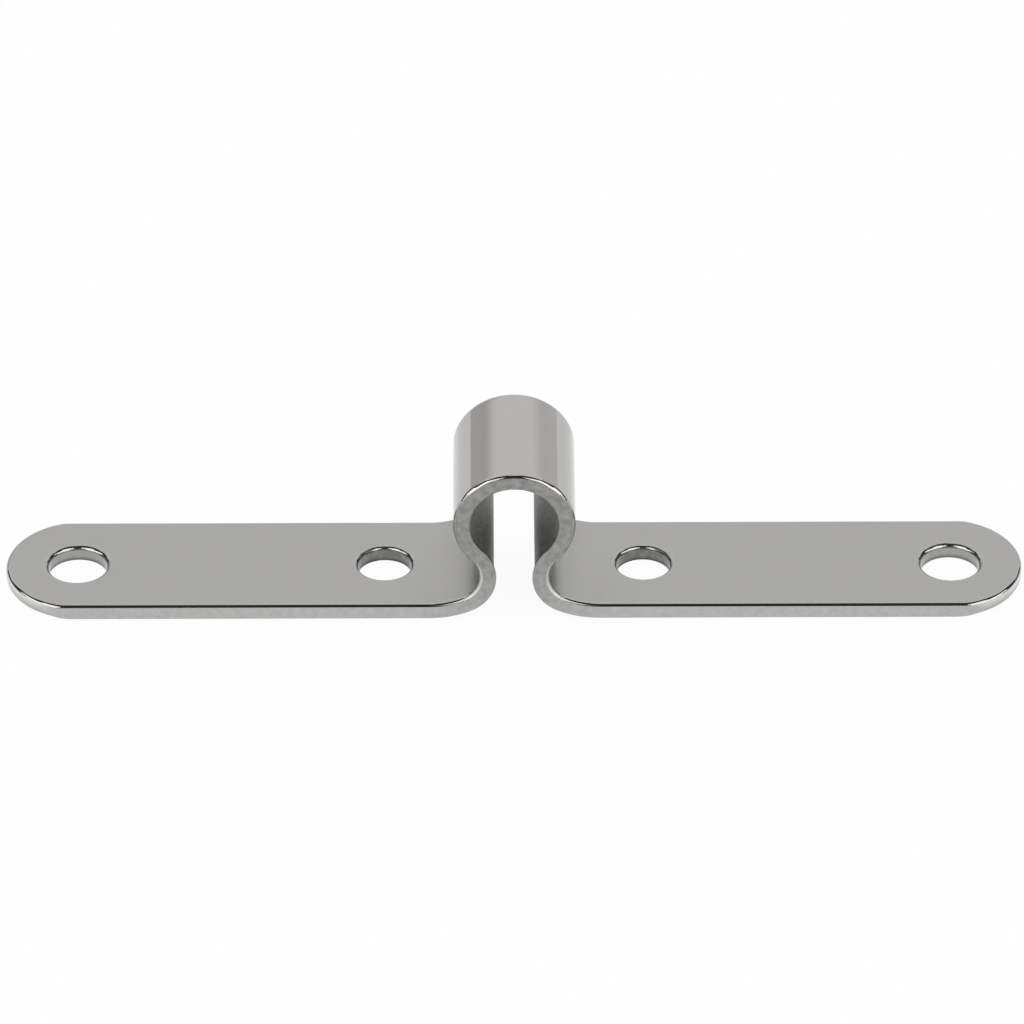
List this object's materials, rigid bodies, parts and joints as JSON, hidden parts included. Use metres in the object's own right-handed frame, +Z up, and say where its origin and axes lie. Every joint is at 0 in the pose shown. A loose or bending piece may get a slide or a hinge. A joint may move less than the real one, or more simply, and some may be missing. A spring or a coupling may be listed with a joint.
{
  "type": "strap gudgeon",
  "caption": "Folded stainless strap gudgeon: an upright loop that holds a pivot pin, between two flat wings with rounded ends and plain screw holes.",
  "frame": {"origin": "middle of the mounting plane: on the undersides of the wings, below the centre of the loop", "axes": "+X along the strip to the right wing's tip, +Y along the pin through the loop, +Z up from the mounting plane to the top of the loop"},
  "size_m": [0.0922, 0.0132, 0.0156],
  "materials": {
    "polished_stainless": "polished"
  },
  "bodies": {
    "root": {"gudgeon_strap": "polished_stainless"}
  },
  "joints": []
}
